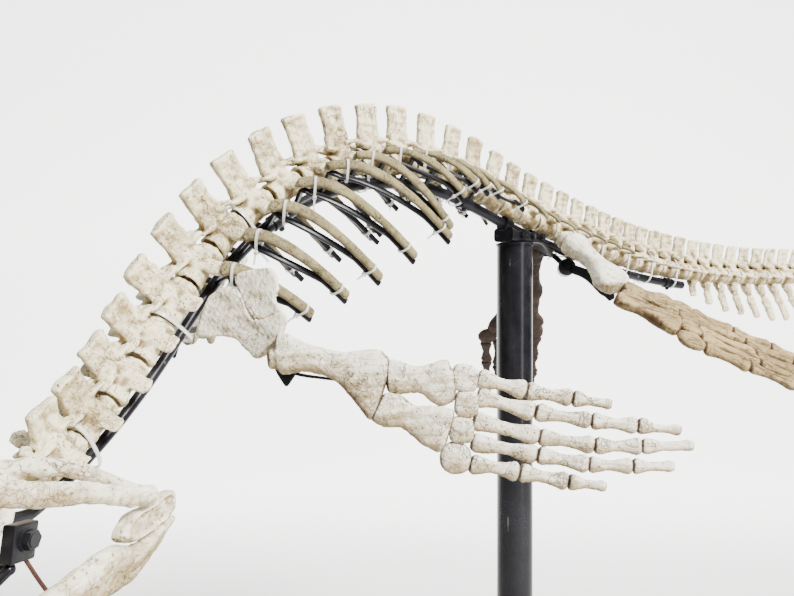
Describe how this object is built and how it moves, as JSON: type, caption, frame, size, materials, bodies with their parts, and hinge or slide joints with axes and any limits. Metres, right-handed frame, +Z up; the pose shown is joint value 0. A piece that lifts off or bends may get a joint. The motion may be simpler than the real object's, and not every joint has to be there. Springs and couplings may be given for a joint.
{
  "type": "mosasaur skeleton",
  "caption": "Life-size mounted mosasaur skeleton in a swimming pose, back arched and jaws open, held by a steel armature on a pole and floor plate.",
  "frame": {"origin": "the foot of the pole's axis, on the floor, under the floor plate", "axes": "+Z up; +X towards the tail; the animal looks towards -Y and a little -X, its left side turned to -Y"},
  "size_m": [3.5096, 1.8378, 1.7931],
  "materials": {
    "bone": "matte, cream-white fossil bone with tan staining in its hollows",
    "stained_bone": "matte, tan-brown fossil bone",
    "dark_bone": "matte, dark brown fossil bone",
    "black_steel": "satin black, lightly scuffed"
  },
  "bodies": {
    "root": {"coracoid_left": "bone", "coracoid_right": "bone", "femur_left": "bone", "femur_right": "bone", "fibula_left": "stained_bone", "fibula_right": "dark_bone", "fore_left_digit_1": "bone", "fore_left_digit_2": "bone", "fore_left_digit_3": "bone", "fore_left_digit_4": "bone", "fore_left_digit_5": "bone", "fore_right_digit_1": "bone", "fore_right_digit_2": "bone", "fore_right_digit_3": "bone", "fore_right_digit_4": "bone", "fore_right_digit_5": "bone", "hind_left_digit_1": "stained_bone", "hind_left_digit_2": "stained_bone", "hind_left_digit_3": "stained_bone", "hind_left_digit_4": "stained_bone", "hind_left_digit_5": "stained_bone", "hind_right_digit_1": "dark_bone", "hind_right_digit_2": "dark_bone", "hind_right_digit_3": "dark_bone", "hind_right_digit_4": "dark_bone", "hind_right_digit_5": "dark_bone", "humerus_left": "bone", "humerus_right": "bone", "jaw_left": "bone", "jaw_right": "bone", "neck": "bone", "quadrate_left": "bone", "quadrate_right": "bone", "radius_left": "bone", "radius_right": "bone", "scapula_left": "bone", "scapula_right": "bone", "skull": "bone", "stand_armature_front": "black_steel", "stand_armature_rear": "black_steel", "stand_base": "black_steel", "stand_hip": "black_steel", "stand_jaw_yoke": "black_steel", "stand_pole": "black_steel", "stand_saddle": "black_steel", "stand_shoulder_left": "black_steel", "stand_shoulder_right": "black_steel", "tail_1": "bone", "tail_2": "bone", "tail_3": "bone", "tail_4": "bone", "tail_base": "bone", "tibia_left": "stained_bone", "tibia_right": "dark_bone", "trunk_left": "bone", "trunk_right": "bone", "ulna_left": "bone", "ulna_right": "bone"}
  },
  "joints": []
}
